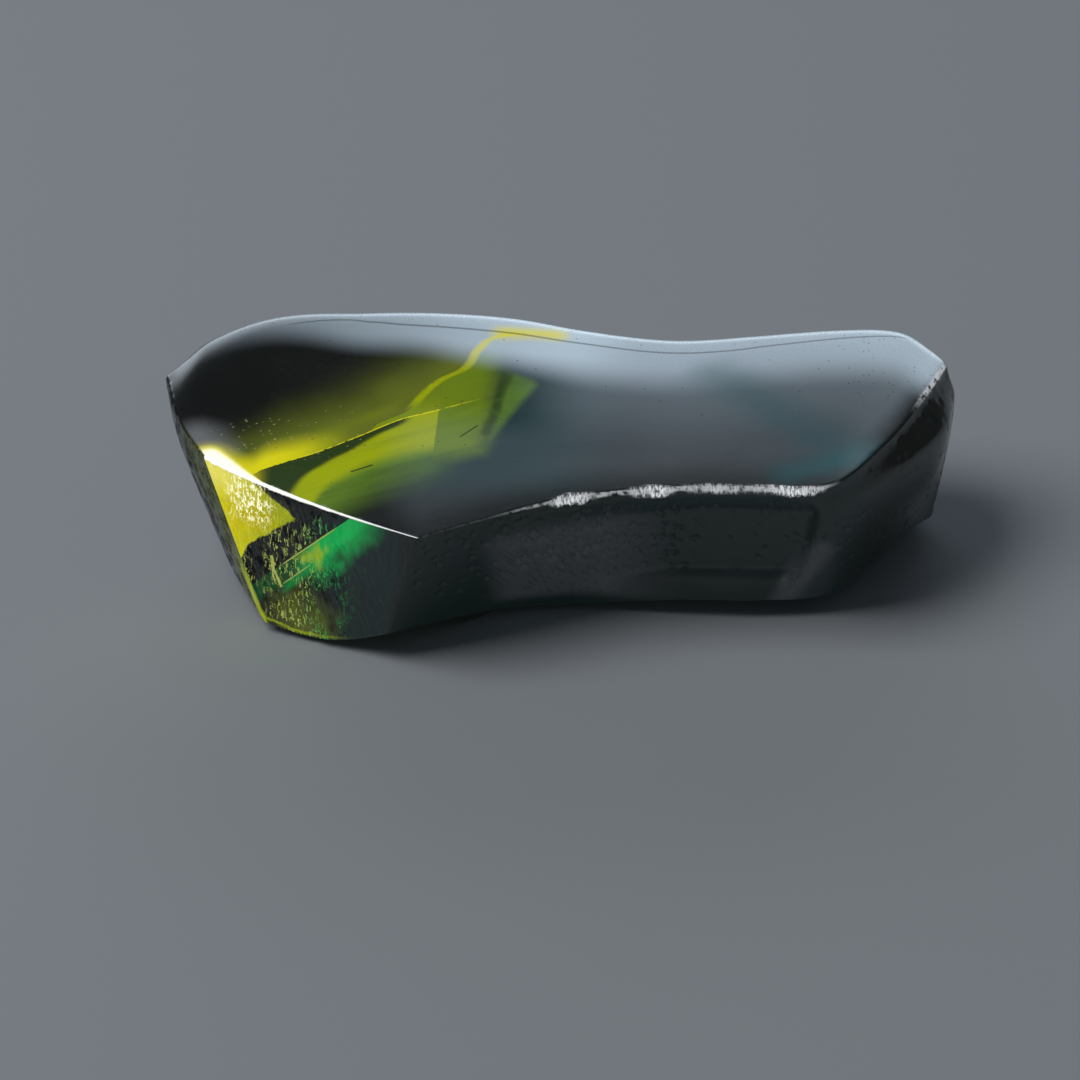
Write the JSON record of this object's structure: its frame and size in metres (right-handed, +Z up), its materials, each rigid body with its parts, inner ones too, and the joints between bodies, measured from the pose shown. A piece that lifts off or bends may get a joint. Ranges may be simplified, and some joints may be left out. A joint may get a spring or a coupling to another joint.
{
  "type": "rough sapphire",
  "caption": "Uncut, water-worn sapphire crystal with a smooth saddle-shaped top, pitted undercut sides and green, yellow and blue-black colour zones.",
  "frame": {"origin": "centre of the bounding box in plan, on the surface that the stone lies on", "axes": "+X along the stone towards its plain end, +Y away from the viewer, +Z up"},
  "size_m": [0.018, 0.009, 0.0047],
  "materials": {
    "sapphire": "satin, water-worn crystal with pitted sides"
  },
  "bodies": {
    "root": {"sapphire": "sapphire"}
  },
  "joints": []
}
